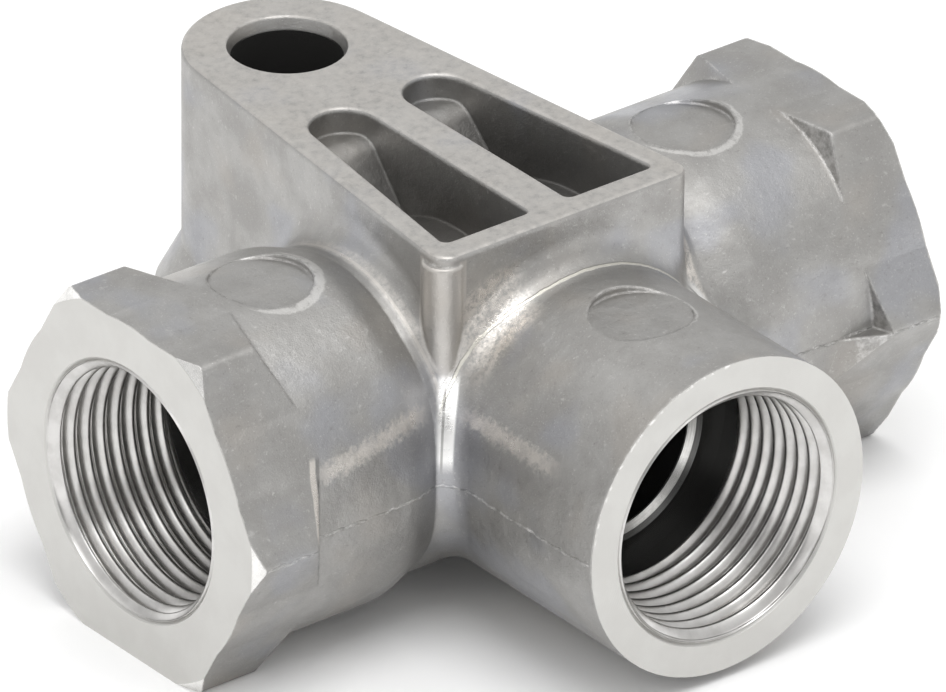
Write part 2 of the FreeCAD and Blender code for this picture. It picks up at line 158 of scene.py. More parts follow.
# Camera of the photograph: a long lens at the photograph's viewing angle
PHOTO_WIDTH = 946
VIEW_AZIMUTH = -38.437
VIEW_ELEVATION = 28.89
VIEW_ROLL = 0.418
VIEW_DISTANCE = 1520.6
PIXELS_PER_MM = 12.268
VIEW_SHIFT_RIGHT = -0.242
VIEW_SHIFT_UP = 1.241

# Lamps: name, place and size in metres, power in watts
LAMPS = (("left_lamp", (-0.42, -0.10, 0.38), 0.20, 0.15),
         ("front_lamp", (-0.07, -0.20, 0.66), 0.42, 1.9),
         ("back_lamp", (0.10, 0.45, 0.42), 0.30, 0.05))

# Light of the room: at eye level, overhead, added at the horizon, and its share round the camera
EYE_LEVEL_LIGHT = 0.65
OVERHEAD_LIGHT = 1.0
HORIZON_LIGHT = 0.9
CAMERA_SIDE_SHARE = 0.35
FLOOR_HALF = 6


def smooth(t):
    """Smooth step of t: 3 t^2 - 2 t^3 between 0 and 1, flat outside."""
    t = np.clip(t, 0, 1)
    return t * t * (3 - 2 * t)


def wobble(t, seed, waves=9, lowest=0.15, highest=2.4):
    """Uneven line along t (mm): a sum of sines with seeded pitches and phases, about -1 to 1."""
    chance = np.random.default_rng(seed)
    pitch = lowest * (highest / lowest) ** (np.arange(waves) / (waves - 1))
    phase = chance.uniform(0, 2 * np.pi, waves)
    height = chance.uniform(0.5, 1, waves) / np.sqrt(waves)
    return (height * np.sin(np.multiply.outer(t, pitch) * 2 * np.pi + phase)).sum(-1)


def surface(name, points, body, finish, closed_across=False):
    """Mesh of a grid of points (rows, columns, 3) in mm, each row a closed ring.

    The first and last rows get a cap each, or are joined to each other where it is closed across.
    """
    rows, columns = points.shape[:2]
    index = np.arange(rows * columns).reshape(rows, columns)
    beside = np.roll(index, -1, 1)
    quads = np.stack([index[:-1], beside[:-1], beside[1:], index[1:]], -1).reshape(-1, 4)
    if closed_across:
        seam = np.stack([index[-1], beside[-1], beside[0], index[0]], -1)
        quads = np.concatenate([quads, seam])
    faces = quads.tolist()
    if not closed_across:
        faces += [index[0][::-1].tolist(), index[-1].tolist()]
    mesh = bpy.data.meshes.new(name)
    mesh.from_pydata((points.reshape(-1, 3) * MM).tolist(), [], faces)
    mesh.polygons.foreach_set("use_smooth", [True] * len(mesh.polygons))
    mesh.materials.append(finish)
    piece = bpy.data.objects.new(name, mesh)
    bpy.context.scene.collection.objects.link(piece)
    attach(piece, body)
    return piece


def tooth(turn):
    """Thread profile against the turn: 0 on the worn crest, 1 in the narrow root, steep flanks between."""
    turn = np.abs((turn % 1) * 2 - 1)
    return np.clip((turn - THREAD_CREST) / THREAD_FLANK, 0, 1) ** THREAD_HOLLOW


def port_thread(name, mouth, outward, across, finish):
    """Thread sleeve of one port.

    Its inside is a function of the angle a and the depth d: the radius is THREAD_MINOR on the crests
    and just short of THREAD_MAJOR in the roots of a right-hand helix, d / pitch + a / 2 pi turns in,
    and it opens to the root's radius at the lead-in and at the run-out. Its outside is the bore.
    """
    angle = np.linspace(0, 2 * np.pi, THREAD_STEPS_ROUND, endpoint=False)
    depth = np.linspace(THREAD_END_GAP, THREAD_LENGTH - THREAD_END_GAP, THREAD_STEPS_DEEP)[:, None]
    outer = THREAD_MAJOR - THREAD_CLEARANCE
    root = outer - THREAD_WALL
    radius = THREAD_MINOR + (root - THREAD_MINOR) * tooth(depth / THREAD_PITCH + angle / (2 * np.pi))
    opening = root - (root - THREAD_MINOR) * smooth(depth / THREAD_LEAD_IN)
    closing = root - (root - THREAD_MINOR) * smooth((THREAD_LENGTH - depth) / THREAD_LEAD_IN)
    radius = np.maximum(radius, np.maximum(opening, closing))
    inside = np.stack(np.broadcast_arrays(radius, angle, depth), -1)
    wall = np.stack(np.broadcast_arrays(outer, angle, depth[[-1, 0]]), -1)
    rings = np.concatenate([inside, wall])
    outward, across = np.array(outward, float), np.array(across, float)
    up = np.cross(outward, across)
    points = (np.array(mouth) - rings[..., 2:] * outward
              + rings[..., :1] * np.cos(rings[..., 1:2]) * across
              + rings[..., :1] * np.sin(rings[..., 1:2]) * up)
    return surface(name, points, "body", finish, closed_across=True)


def front_plan(side):
    """Outline of the casting's front in the parting plane, from a hexagon's back to the outlet's mouth.

    A straight neck, its rounded shoulder, the slope down to the waist, the arc of the crease and the
    side of the outlet, as points (x, y) in mm from the crossing of the axes. The side is -1 or 1.
    """
    slope = np.arctan2(NECK_RADIUS - WAIST_RADIUS, WAIST_RAMP)
    bend = np.linspace(0, slope, 12)
    start = WAIST_HALF + WAIST_RAMP + SHOULDER_RADIUS * np.tan(slope / 2)
    shoulder = np.stack([start - SHOULDER_RADIUS * np.sin(bend),
                         NECK_RADIUS - SHOULDER_RADIUS * (1 - np.cos(bend))], 1)
    turn = np.radians(np.linspace(CREASE_TURN, 0, 24))
    crease = np.stack([OUTLET_RADIUS + CREASE_RADIUS * (1 - np.cos(turn)),
                       WAIST_RADIUS + CREASE_RADIUS * (1 - np.sin(turn))], 1)
    neck, mouth = (HEX_FOOT[side], NECK_RADIUS), (OUTLET_RADIUS, OUTLET_REACH - FLASH_END_GAP)
    return np.concatenate([[neck], shoulder, crease, [mouth]]) * (side, -1)


def parting_flash(name, plan, outward_turn, height, width, seed, finish):
    """Flash left by the two halves of the die along one stretch of the parting plane.

    A low ridge carried along the plan, a line of points (x, y): its section is a bell across, sunk into
    the casting, and its height and its place up and down wander along it; it tapers to nothing at both
    ends. It stands out on the side of the plan that outward_turn names: 1 left of its way, -1 right.
    """
    plan = np.array(plan, float)
    reach = np.concatenate([[0], np.cumsum(np.linalg.norm(np.diff(plan, axis=0), axis=1))])
    length = reach[-1]
    along = np.linspace(0, 1, max(int(length * FLASH_STEPS_PER_MM), 12))[:, None]
    middle = np.stack([np.interp(along[:, 0] * length, reach, column) for column in plan.T], 1)
    way = np.gradient(middle, axis=0)
    way = way / np.linalg.norm(way, axis=1, keepdims=True)
    outward = outward_turn * np.stack([-way[:, 1], way[:, 0], 0 * way[:, 0]], 1)
    turn = np.linspace(0, 2 * np.pi, FLASH_STEPS_ACROSS, endpoint=False)
    far = along * length + seed * 17.3
    rise = height * (0.62 + 0.55 * wobble(far[:, 0], seed)[:, None])
    rise = np.clip(rise, 0.15 * height, None)
    rise = rise * smooth(np.minimum(along, 1 - along) * length / FLASH_TAPER)
    drift = 0.09 * wobble(far[:, 0], seed + 50, 6, 0.05, 0.9)[:, None]
    spread = width * (0.8 + 0.3 * wobble(far[:, 0], seed + 90)[:, None])
    out = np.where(np.sin(turn) > 0, rise * np.abs(np.sin(turn)) ** 1.5, FLASH_SUNK * np.sin(turn))
    side = drift - outward_turn * spread / 2 * np.cos(turn)
    middle = CROSSING + np.concatenate([middle, 0 * middle[:, :1]], 1)
    upward = np.array([0, 0, 1.0])
    points = middle[:, None] + out[..., None] * outward[:, None] + side[..., None] * upward
    return surface(name, points, "body", finish)


class Finish:
    """Material under construction: nodes are added with add() and their sockets wired as they come."""

    def __init__(self, name):
        self.material = bpy.data.materials.new(name)
        self.material.use_nodes = True
        self.tree = self.material.node_tree
        self.surface = self.tree.nodes["Principled BSDF"]
        place = self.add("ShaderNodeTexCoord").outputs["Object"]
        scale = (1 / MM,) * 3
        shift = (0, -AXIS_Y, -AXIS_Z)
        self.place = self.add("ShaderNodeMapping", Vector=place, Scale=scale, Location=shift).outputs[0]

    def add(self, kind, **sockets):
        """New node; each keyword is an input socket, given a value or another node's output."""
        made = self.tree.nodes.new(kind)
        for name, value in sockets.items():
            self.set(made.inputs[name.replace("_", " ")], value)
        return made

    def set(self, socket, value):
        """Gives an input socket a value, or links another node's output to it."""
        if isinstance(value, bpy.types.NodeSocket):
            self.tree.links.new(value, socket)
        else:
            socket.default_value = value

    def math(self, operation, *values, clamp=False):
        """Output of a Math node."""
        made = self.tree.nodes.new("ShaderNodeMath")
        made.operation = operation
        made.use_clamp = clamp
        for socket, value in zip(made.inputs, values):
            self.set(socket, value)
        return made.outputs[0]

    def axes(self):
        """The three coordinates of a point, in mm from the crossing of the port axes."""
        return self.add("ShaderNodeSeparateXYZ", Vector=self.place).outputs[:]

    def noise(self, size, detail=4.0, roughness=0.55, stretch=(1, 1, 1), shift=0.0):
        """Noise of about the given blob size in mm, 0 to 1."""
        where = self.add("ShaderNodeMapping", Vector=self.place, Location=(shift, shift, shift),
                         Scale=tuple(s / size for s in stretch)).outputs[0]
        return self.add("ShaderNodeTexNoise", Vector=where, Scale=1.0, Detail=detail,
                        Roughness=roughness).outputs["Fac"]

    def ramp(self, value, low, high, to_low=0.0, to_high=1.0):
        """Value mapped smoothly from low..high to to_low..to_high."""
        made = self.tree.nodes.new("ShaderNodeMapRange")
        made.interpolation_type = "SMOOTHSTEP"
        for name, given in (("Value", value), ("From Min", low), ("From Max", high),
                            ("To Min", to_low), ("To Max", to_high)):
            self.set(made.inputs[name], given)
        return made.outputs[0]

    def band(self, value, middle, half, soft):
        """1 where a value is within half of the middle, falling to 0 over the soft margin."""
        away = self.math("ABSOLUTE", self.math("SUBTRACT", value, middle))
        return self.ramp(away, half + soft, half)

    def both(self, *shares):
        """Product of shares."""
        whole = shares[0]
        for share in shares[1:]:
            whole = self.math("MULTIPLY", whole, share)
        return whole

    def most(self, *shares):
        """Largest of shares."""
        whole = shares[0]
        for share in shares[1:]:
            whole = self.math("MAXIMUM", whole, share)
        return whole

    def rest(self, share):
        """What a share leaves of the whole."""
        return self.math("SUBTRACT", 1.0, share)

    def sway(self, noise, width):
        """Noise of 0 to 1 turned into an offset about 0, over the given full width."""
        return self.math("MULTIPLY", self.math("SUBTRACT", noise, 0.5), width)

    def reach(self, first, second):
        """Distance from an axis, given the two coordinates across it."""
        return self.math("SQRT", self.math("ADD", self.math("MULTIPLY", first, first),
                                           self.math("MULTIPLY", second, second)))

    def blend(self, share, first, second):
        """Colour between two colours."""
        made = self.tree.nodes.new("ShaderNodeMix")
        made.data_type = "RGBA"
        for socket, value in ((made.inputs[0], share), (made.inputs[6], first), (made.inputs[7], second)):
            if isinstance(value, tuple) and len(value) == 3:
                value = value + (1,)
            self.set(socket, value)
        return made.outputs[2]

    def rounded(self, radius):
        """Normal that turns smoothly over edges of the given radius in mm."""
        made = self.add("ShaderNodeBevel", Radius=radius * MM)
        made.samples = 4
        return made.outputs[0]

    def bump(self, height, depth, normal=None):
        """Normal disturbed by a height of 0 to 1, depth in mm deep."""
        made = self.add("ShaderNodeBump", Height=height, Distance=depth * MM, Strength=1.0)
        if normal is not None:
            self.set(made.inputs["Normal"], normal)
        return made.outputs[0]

    def done(self, colour, metallic, roughness, normal):
        """Wires the surface and returns the material."""
        for name, value in (("Base Color", colour), ("Metallic", metallic), ("Roughness", roughness),
                            ("Normal", normal)):
            if isinstance(value, tuple) and len(value) == 3:
                value = value + (1,)
            self.set(self.surface.inputs[name], value)
        return self.material


def in_bores(finish, run, branch):
    """Shares of what lies inside the run's bore, the outlet's bore and the bolt hole."""
    x, y, z = finish.axes()
    in_run = finish.math("LESS_THAN", run, PORT_MOUTH)
    in_branch = finish.both(finish.math("LESS_THAN", branch, PORT_MOUTH), finish.math("LESS_THAN", y, 0.0))
    hole = finish.reach(x, finish.math("SUBTRACT", y, BOSS_Y - AXIS_Y))
    in_hole = finish.both(finish.math("LESS_THAN", hole, HOLE_RADIUS + 0.45),
                          finish.math("LESS_THAN", z, LUG_HEIGHT - HOLE_CHAMFER_DEPTH + 0.1))
    return in_run, in_branch, in_hole


def machined_share(finish, run, branch):
    """Shares of what is machined (end faces, ports, bolt hole), of the painted shade in its depths, and of
    its bright rims, with a painted highlight on the outlet's upper left edge.
    """
    x, y, z = finish.axes()
    far = finish.math("ABSOLUTE", x)
    ragged = finish.sway(finish.noise(0.7, 5.0, 0.7), RAGGED_EDGE)
    slope = HEX_FACE_CHAMFER / HEX_CHAMFER_DROP
    over = finish.math("MULTIPLY", finish.math("SUBTRACT", run, HEX_VERTEX - HEX_CHAMFER_DROP), slope)
    cone = finish.math("ADD", far, finish.math("MAXIMUM", over, 0.0))
    ends = finish.math("GREATER_THAN", finish.math("ADD", cone, ragged), RUN_HALF - 0.1)
    face = finish.math("ADD", -OUTLET_REACH + 0.05, finish.math("MULTIPLY", ragged, 0.3))
    outlet = finish.math("LESS_THAN", y, face)
    in_run, in_branch, in_hole = in_bores(finish, run, branch)
    share = finish.most(ends, outlet, in_run, in_branch, in_hole)
    depth = finish.most(finish.math("SUBTRACT", far, RUN_HALF), finish.math("SUBTRACT", -OUTLET_REACH, y))
    ring = finish.both(finish.band(finish.math("MINIMUM", run, branch), BORE_RADIUS + 0.2, 0.22, 0.06),
                       finish.band(depth, -PORT_DEPTH - 0.4, 0.5, 0.1))
    # Painted shade deep in the bores beyond the threads, and in the bolt hole
    deep = finish.both(finish.most(in_run, in_branch), finish.rest(ring),
                       finish.ramp(depth, -THREAD_LENGTH + 0.1, -THREAD_LENGTH - 0.5))
    deep = finish.most(deep, finish.math("MULTIPLY", in_hole, 0.82))
    facet = finish.both(ends, finish.ramp(over, 0.0, 0.06))
    # Painted highlight along the upper left of the outlet's rim, in patches
    burr_glint = finish.both(outlet, finish.ramp(branch, OUTLET_RADIUS - 0.3, OUTLET_RADIUS - 0.1),
                       finish.ramp(finish.noise(0.8, 4.0, 0.7, shift=13), 0.48, 0.6),
                       finish.math("LESS_THAN", x, 0.0), finish.math("GREATER_THAN", z, 2.0))
    return share, deep, finish.most(facet, ring, burr_glint)


def front_crease(finish, off_outlet, uneven):
    """Shares of the thin witness line in the crease of lug and outlet, and of the painted sheen beside it."""
    x, y, z = finish.axes()
    off_front = finish.math("SUBTRACT", -LUG_FRONT, y)
    upper = finish.ramp(z, *FADE_IN)
    drift = finish.math("ADD", uneven, finish.ramp(x, -12.0, -3.0, 0.1, 1.5))
    line = finish.math("ADD", finish.math("SUBTRACT", off_outlet, off_front), drift)
    witness = finish.both(finish.band(line, 0.0, 0.13, 0.12), finish.band(off_front, 1.2, 1.4, 0.4), upper)
    pale = finish.both(finish.band(line, 0.0, 3.4, 1.6), finish.band(off_front, 1.0, 1.8, 1.2),
                       finish.band(off_outlet, 1.6, 1.8, 1.2), finish.band(x, -8.2, 1.6, 2.6), upper)
    return witness, pale


def corner_seam(finish, off_waist, off_outlet):
    """Shares of a painted dark line and of a painted highlight round it, where run and outlet meet in front.
    """
    x, y, z = finish.axes()
    seam = finish.math("SUBTRACT", off_waist, off_outlet)
    near = finish.both(finish.ramp(off_waist, 1.6, 1.1), finish.ramp(off_outlet, 1.6, 1.1),
                       finish.math("LESS_THAN", y, 0.0))
    dark = finish.both(finish.band(seam, SEAM_OFFSET, 0.09, 0.1), near, finish.band(z, 4.6, 2.6, 1.4))
    bright = finish.both(finish.band(seam, SEAM_OFFSET, 1.15, 0.35), near, finish.band(z, 4.8, 2.3, 1.6))
    return dark, bright


def lug_sides(finish, off_waist):
    """Shares of painted light along the creases beside the lug: painted sheen, and at left a painted
    highlight on a ridge and a painted dark line beside it.
    """
    x, y, z = finish.axes()
    off_side = finish.math("SUBTRACT", finish.math("ABSOLUTE", x), LUG_SIDE)
    beside = finish.math("SUBTRACT", off_waist, off_side)
    pale = finish.both(finish.band(beside, 0.0, 0.5, 0.5), finish.band(off_side, 0.8, 0.8, 0.5),
                       finish.ramp(z, *FADE_IN), finish.ramp(x, -2.0, 2.0, 0.4, 1.0))
    left = finish.both(finish.math("LESS_THAN", x, -6.0), finish.ramp(z, 4.5, 6.5),
                       finish.math("LESS_THAN", y, 6.0), finish.band(off_side, 1.0, 1.3, 0.3),
                       finish.ramp(z, LUG_HEIGHT - 2.0, LUG_HEIGHT - 4.0))
    # Painted highlight on the ridge and painted shade beside it
    ridge = finish.both(finish.band(beside, -0.35, 0.12, 0.14), left, 0.55)
    groove_shade = finish.both(finish.band(beside, -1.1, 0.14, 0.3), left, 0.6)
    return pale, ridge, groove_shade


def corner_rib_highlight(finish):
    """Share of the painted highlight round the rib at the lug's left front corner."""
    x, y, z = finish.axes()
    off_rib = finish.reach(finish.math("SUBTRACT", x, RIB_AT[0]), finish.math("SUBTRACT", y, RIB_AT[1]))
    return finish.both(finish.band(off_rib, RIB_RADIUS, 0.12, 0.1), finish.band(z, 12.5, 5.3, 0.3), 0.4)


def glints(finish, off_waist, off_outlet):
    """Shares of the painted glints, short streaks of painted reflection on the left neck and the outlet, and
    of the painted shade below them.
    """
    x, y, z = finish.axes()
    jagged = finish.sway(finish.noise(0.5, 4.0, 0.65, shift=91), 0.16)
    rise = finish.math("ARCTAN2", z, finish.math("MULTIPLY", y, -1.0))
    turn = finish.math("ADD", rise, finish.ramp(finish.math("ABSOLUTE", x), 16.0, 27.0, -0.44, -0.34))
    turn = finish.math("ADD", turn, jagged)
    rise = finish.math("ARCTAN2", z, finish.math("MULTIPLY", x, -1.0))
    lean = finish.math("ADD", finish.math("SUBTRACT", rise, 0.43), jagged)
    on_neck = finish.both(finish.band(off_waist, 0.9, 0.6, 0.3), finish.band(x, -21.5, 4.0, 3.0))
    on_outlet = finish.both(finish.band(off_outlet, 0.0, 0.1, 0.4), finish.band(y, -20.5, 4.0, 3.0))
    bright, shade = (finish.most(finish.both(finish.band(turn, middle, half, soft), on_neck),
                                 finish.both(finish.band(lean, middle, half, soft), on_outlet))
                     for middle, half, soft in ((0.0, 0.015, 0.06), (-0.15, 0.03, 0.1)))
    broken = finish.ramp(finish.noise(0.9, 3.0, 0.5, shift=73), 0.25, 0.6, 0.45, 0.85)
    return finish.both(bright, broken), shade


def left_lip(finish, uneven):
    """Shares of a painted highlight on the raised edge at the back of the left hexagon, in front, and of a
    painted dark line beside it.
    """
    x, y, z = finish.axes()
    back = finish.math("SUBTRACT", finish.math("ADD", x, LIP_AT), finish.math("MULTIPLY", z, 0.25))
    back = finish.math("ADD", back, finish.math("MULTIPLY", uneven, 0.5))
    here = finish.both(finish.band(z, 3.3, 2.8, 0.5), finish.math("LESS_THAN", y, -12.0))
    lip_highlight = finish.both(finish.band(back, -0.05, 0.2, 0.18), here)
    groove_shade = finish.both(finish.band(back, 0.45, 0.1, 0.12), here)
    return lip_highlight, groove_shade


def creases(finish, run, branch):
    """Shares of the thin witness line, of painted shade by the creases, of the painted highlight round the
    seam, and of painted sheen by the creases.
    """
    off_outlet = finish.math("SUBTRACT", branch, OUTLET_RADIUS)
    off_waist = finish.math("SUBTRACT", run, WAIST_RADIUS)
    uneven = finish.sway(finish.noise(1.6, 3.0, 0.6, shift=61), 0.5)
    patchy = finish.ramp(finish.noise(0.5, 4.0, 0.7, shift=41), 0.3, 0.62)
    witness, front_sheen = front_crease(finish, off_outlet, uneven)
    seam, shine = corner_seam(finish, off_waist, off_outlet)
    side_sheen, ridge, side_shade = lug_sides(finish, off_waist)
    glint, shade = glints(finish, off_waist, off_outlet)
    lip_highlight, lip_shade = left_lip(finish, uneven)
    # Painted shade: the dark line in the seam, the dark lines beside the lug and the left hexagon, and the
    # shade under the glints
    dark = finish.most(seam, side_shade, lip_shade, finish.math("MULTIPLY", shade, 0.35))
    # Painted highlights: sheen by the creases and round the rib, the glints, the ridge and the raised edge of
    # the left hexagon
    sheen = finish.most(finish.both(front_sheen, patchy), finish.both(side_sheen, patchy),
                        corner_rib_highlight(finish), glint, ridge, lip_highlight)
    return witness, dark, shine, sheen


def scuffs(finish, mottle):
    """Share of the pale crescents rubbed into the skin just outside the round marks of the die's pins."""
    x, y, z = finish.axes()
    whole = 0.0
    for middle_x, middle_y, turn, widest in ROUND_MARKS:
        across, along = finish.math("SUBTRACT", x, middle_x), finish.math("SUBTRACT", y, middle_y)
        toward = finish.math("ADD", finish.math("MULTIPLY", across, float(np.cos(np.radians(turn)))),
                             finish.math("MULTIPLY", along, float(np.sin(np.radians(turn)))))
        off = finish.math("SUBTRACT", finish.reach(across, along), MARK_RADIUS + 0.08 + widest)
        off = finish.math("ADD", off, finish.sway(mottle, 0.9))
        width = finish.ramp(toward, -1.0, 4.5, 0.0, widest)
        crescent = finish.ramp(finish.math("SUBTRACT", finish.math("ABSOLUTE", off), width), 0.1, -0.1)
        whole = finish.most(whole, finish.both(crescent, finish.ramp(toward, -0.5, 1.0)))
    return finish.both(whole, finish.math("GREATER_THAN", z, 10.0), finish.ramp(mottle, 0.35, 0.5, 0.35, 1.0))


def pocket_share(finish):
    """Share of what lies down in the lug's two pockets, growing with depth, where painted shade darkens them.
    """
    x, y, z = finish.axes()
    narrowing = finish.math("MULTIPLY", finish.math("SUBTRACT", y, POCKET_TAPER_FROM), POCKET_TAPER)
    wall = finish.math("ADD", finish.math("ABSOLUTE", x), narrowing)
    return finish.both(finish.math("LESS_THAN", wall, POCKET_HALF), finish.math("LESS_THAN", y, POCKET_BACK),
                       finish.math("GREATER_THAN", y, POCKET_FRONT),
                       finish.ramp(z, LUG_HEIGHT - 0.6, LUG_HEIGHT - 4.5))


def stained_skin(finish, cloud, mottle, grain):
    """Colour of the cast skin: clouds, a bluish and a warm stain, flecks and grain, in that order."""
    tint = finish.noise(9.0, 2.0, 0.5, shift=83)
    skin = finish.blend(finish.ramp(cloud, 0.36, 0.64), CLOUD_DARK, CLOUD_PALE)
    layers = ((tint, 0.54, 0.68, 0.5, STAIN_BLUISH), (tint, 0.46, 0.32, 0.4, STAIN_WARM),
              (mottle, 0.58, 0.72, 0.5, FLECK_PALE), (mottle, 0.42, 0.28, 0.55, FLECK_DARK),
              (grain, 0.6, 0.76, 0.6, GRAIN_PALE), (grain, 0.4, 0.24, 0.6, GRAIN_DARK))
    for noise, low, high, strength, colour in layers:
        skin = finish.blend(finish.ramp(noise, low, high, 0.0, strength), skin, colour)
    return skin


def worn_edges(finish, smoothed, true_normal):
    """Share of the rubbed edges: where the rounded normal leaves the true one, in patches."""
    likeness = finish.tree.nodes.new("ShaderNodeVectorMath")
    likeness.operation = "DOT_PRODUCT"
    finish.set(likeness.inputs[0], smoothed)
    finish.set(likeness.inputs[1], true_normal)
    return finish.both(finish.ramp(likeness.outputs["Value"], 0.97, 0.84),
                       finish.ramp(finish.noise(0.9, 5.0, 0.75, shift=55), 0.42, 0.58))


def back_corner_sheen(finish, run, mottle, true_normal):
    """Share of the painted highlight, in patches, on the front ones of the hexagons' sloped back corners."""
    x, y, z = finish.axes()
    facing = finish.add("ShaderNodeSeparateXYZ", Vector=true_normal).outputs[0]
    return finish.both(finish.band(finish.math("ABSOLUTE", facing), 0.7, 0.28, 0.05),
                       finish.band(finish.math("ABSOLUTE", x), 28.8, 1.6, 0.3),
                       finish.ramp(run, NECK_RADIUS - 0.2, NECK_RADIUS + 0.1),
                       finish.math("LESS_THAN", y, 0.0), finish.ramp(mottle, 0.4, 0.6), 0.4)


def scratched(finish, skin):
    """Skin with fine pale scratches, some along the run and some upright."""
    for stretch, place in (((0.2, 1, 1), 5), ((1, 1, 0.22), 47)):
        scratch = finish.ramp(finish.noise(0.34, 1.0, 0.4, stretch=stretch, shift=place), 0.76, 0.84)
        here = finish.ramp(finish.noise(7.0, 2.0, 0.5, shift=place + 60), 0.5, 0.62)
        skin = finish.blend(finish.both(scratch, here, 0.5), skin, SCRATCH)
    return skin


def turned_normal(finish, run, branch):
    """Normal of the machined faces, with fine rings round the axis on which each was turned."""
    by_outlet = finish.math("LESS_THAN", finish.axes()[1], -NECK_RADIUS - 2)
    rings, branch_rings = (finish.math("SINE", finish.math("MULTIPLY", off_axis, 2 * np.pi / TURNING_PITCH))
                           for off_axis in (run, branch))
    marks = finish.math("ADD", finish.math("MULTIPLY", rings, finish.rest(by_outlet)),
                        finish.math("MULTIPLY", branch_rings, by_outlet))
    marks = finish.math("ADD", finish.math("MULTIPLY", marks, 0.15), finish.noise(0.5, 4.0, 0.6, shift=3))
    return finish.bump(marks, 0.006)


def metal_roughness(finish, cloud, mottle, glossy, share, bright):
    """Roughness of the cast skin, and of the machined share with its brighter parts."""
    skin = finish.math("ADD", finish.ramp(cloud, 0.3, 0.7, 0.46, 0.33), finish.sway(mottle, 0.25))
    skin = finish.math("SUBTRACT", skin, finish.math("MULTIPLY", glossy, 0.12))
    right_shoulder = finish.band(finish.axes()[0], WAIST_HALF + 2.0, 1.8, 1.0)
    skin = finish.math("ADD", skin, finish.math("MULTIPLY", right_shoulder, 0.14))
    machined = finish.ramp(bright, 0.0, 1.0, 0.42, 0.24)
    return finish.math("ADD", finish.math("MULTIPLY", skin, finish.rest(share)),
                       finish.math("MULTIPLY", share, machined))


def cast_aluminium():
    """Die-cast skin with cloudy stains, fine grain and bright worn edges, and turned faces and bores."""
    finish = Finish("cast_aluminium")
    x, y, z = finish.axes()
    run, branch = finish.reach(y, z), finish.reach(x, z)
    share, deep, rim = machined_share(finish, run, branch)
    in_pocket = pocket_share(finish)
    cloud = finish.noise(6.0, 6.0, 0.62)
    mottle = finish.noise(0.8, 6.0, 0.74, shift=31)
    grain = finish.noise(0.17, 3.0, 0.65, shift=7)
    smoothed = finish.rounded(0.4)
    true_normal = finish.add("ShaderNodeNewGeometry").outputs["Normal"]

    skin = stained_skin(finish, cloud, mottle, grain)
    worn = finish.both(worn_edges(finish, smoothed, true_normal), finish.rest(in_pocket), 0.6)
    skin = finish.blend(worn, skin, WORN_EDGE)
    # Painted highlight on the hexagons' front back corners
    skin = finish.blend(back_corner_sheen(finish, run, mottle, true_normal), skin, BACK_CORNER_SHEEN)
    skin = scratched(finish, skin)
    rubbed = finish.both(finish.math("GREATER_THAN", z, LUG_HEIGHT - 0.12),
                         finish.ramp(mottle, 0.3, 0.6, 0.2, 0.6))
    skin = finish.blend(rubbed, skin, RUBBED_TOP)
    witness, dark, shine, sheen = creases(finish, run, branch)
    # Scuffs, painted highlights by the creases, the witness line, and painted shade in the creases and the
    # pockets
    for mark, strength, colour in ((scuffs(finish, mottle), 0.6, SCUFF), (sheen, 0.65, SHEEN),
                                   (shine, 0.9, SHINE), (witness, 0.7, WITNESS_LINE),
                                   (dark, 0.6, PAINTED_SHADE), (in_pocket, 0.6, POCKET_SHADE)):
        skin = finish.blend(finish.math("MULTIPLY", mark, strength), skin, colour)

    bright = finish.blend(finish.ramp(finish.noise(3.5, 5.0, 0.6, shift=11), 0.35, 0.65),
                          TURNED_DARK, TURNED_PALE)
    bright = finish.blend(finish.both(rim, finish.ramp(mottle, 0.3, 0.6, 0.5, 1.0)), bright, BRIGHT_RIM)
    # Painted shade deep in the bores and the bolt hole
    bright = finish.blend(finish.math("MULTIPLY", deep, 0.85), bright, BORE_SHADE)

    height = finish.math("ADD", finish.math("MULTIPLY", mottle, 0.6), finish.math("MULTIPLY", grain, 0.4))
    height = finish.math("ADD", height, finish.math("MULTIPLY", witness, 0.8))
    relief = finish.bump(finish.noise(4.5, 3.0, 0.5, shift=19), 0.2, smoothed)
    normal = finish.tree.nodes.new("ShaderNodeMix")
    normal.data_type = "VECTOR"
    finish.set(normal.inputs[0], share)
    finish.set(normal.inputs[4], finish.bump(height, 0.06, relief))
    finish.set(normal.inputs[5], turned_normal(finish, run, branch))
    rough = metal_roughness(finish, cloud, mottle, finish.most(sheen, shine), share, finish.most(deep, rim))
    return finish.done(finish.blend(share, skin, bright), 0.9, rough, normal.outputs[1])


def cut_thread():
    """Freshly cut thread: bright metal with fine marks along the helix."""
    finish = Finish("cut_thread")
    colour = finish.blend(finish.ramp(finish.noise(2.2, 4.0, 0.6), 0.35, 0.65), THREAD_DARK, THREAD_PALE)
    normal = finish.bump(finish.noise(0.35, 3.0, 0.6, shift=5), 0.006)
    return finish.done(colour, 1.0, 0.3, normal)


def plain_finish(name, colour, metallic, roughness, grain, depth):
    """Evenly finished piece with a slight mottle and a fine grain (mm size and depth)."""
    finish = Finish(name)
    darker = tuple(0.85 * part for part in colour)
    shade = finish.blend(finish.ramp(finish.noise(3.0, 4.0, 0.6), 0.3, 0.7), darker, colour)
    rough = finish.ramp(finish.noise(1.5, 4.0, 0.6, shift=9), 0.3, 0.7, roughness * 0.85, roughness * 1.15)
    normal = finish.bump(finish.noise(grain, 3.0), depth, finish.rounded(0.12))
    return finish.done(shade, metallic, rough, normal)


def dress(node, finish):
    """Gives a solid of the valve its finish."""
    slots = frame["nodes"][node].data.materials
    slots.clear()
    slots.append(finish)


def toward_camera():
    """Direction from the valve to the photograph's camera."""
    azimuth, elevation = np.radians([VIEW_AZIMUTH, VIEW_ELEVATION])
    return np.array([np.sin(azimuth) * np.cos(elevation), -np.cos(azimuth) * np.cos(elevation),
                     np.sin(elevation)])


